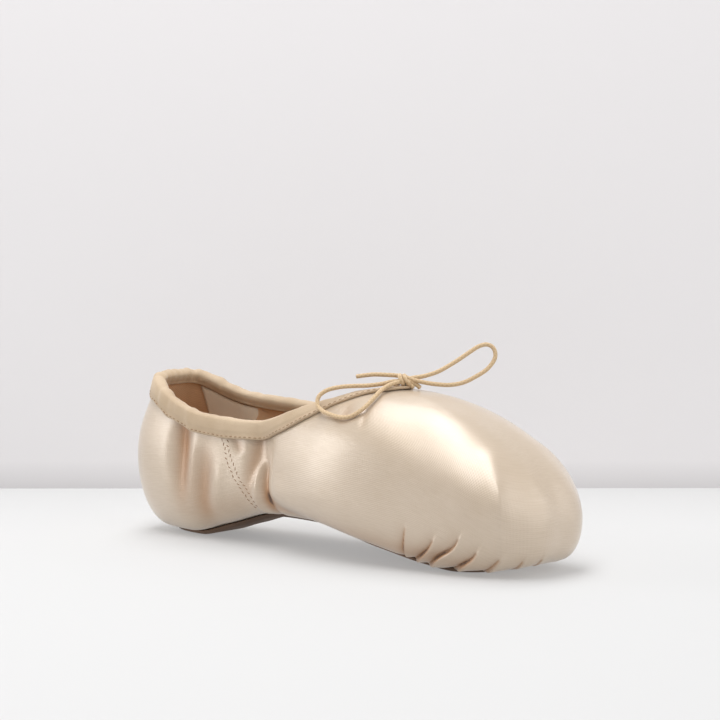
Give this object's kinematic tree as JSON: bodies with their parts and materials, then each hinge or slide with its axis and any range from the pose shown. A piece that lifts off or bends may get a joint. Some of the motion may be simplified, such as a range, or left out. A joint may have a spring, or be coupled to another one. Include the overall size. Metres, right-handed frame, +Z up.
{
  "type": "pointe shoe",
  "caption": "Ballet pointe shoe in pale satin, with a stiff box, a narrow leather sole and a drawstring tied in a bow at the throat.",
  "frame": {"origin": "on the floor under the middle of the shoe", "axes": "+X from the heel to the toe, +Z up, +Y to one side"},
  "size_m": [0.2361, 0.08, 0.0926],
  "materials": {
    "satin": "glossy pale pink satin",
    "sole_leather": "buffed leather",
    "insole_canvas": "plain canvas sock",
    "casing_satin": "matte satin binding",
    "label_cotton": "bare woven cotton",
    "drawstring_cotton": "braided cotton cord"
  },
  "bodies": {
    "root": {"upper": "satin", "outsole": "sole_leather", "insole": "insole_canvas", "collar_casing": "casing_satin", "inner_label": "label_cotton", "drawstring_knot": "drawstring_cotton", "drawstring_right_loop": "drawstring_cotton", "drawstring_left_loop": "drawstring_cotton", "drawstring_left_end": "drawstring_cotton"}
  },
  "joints": []
}
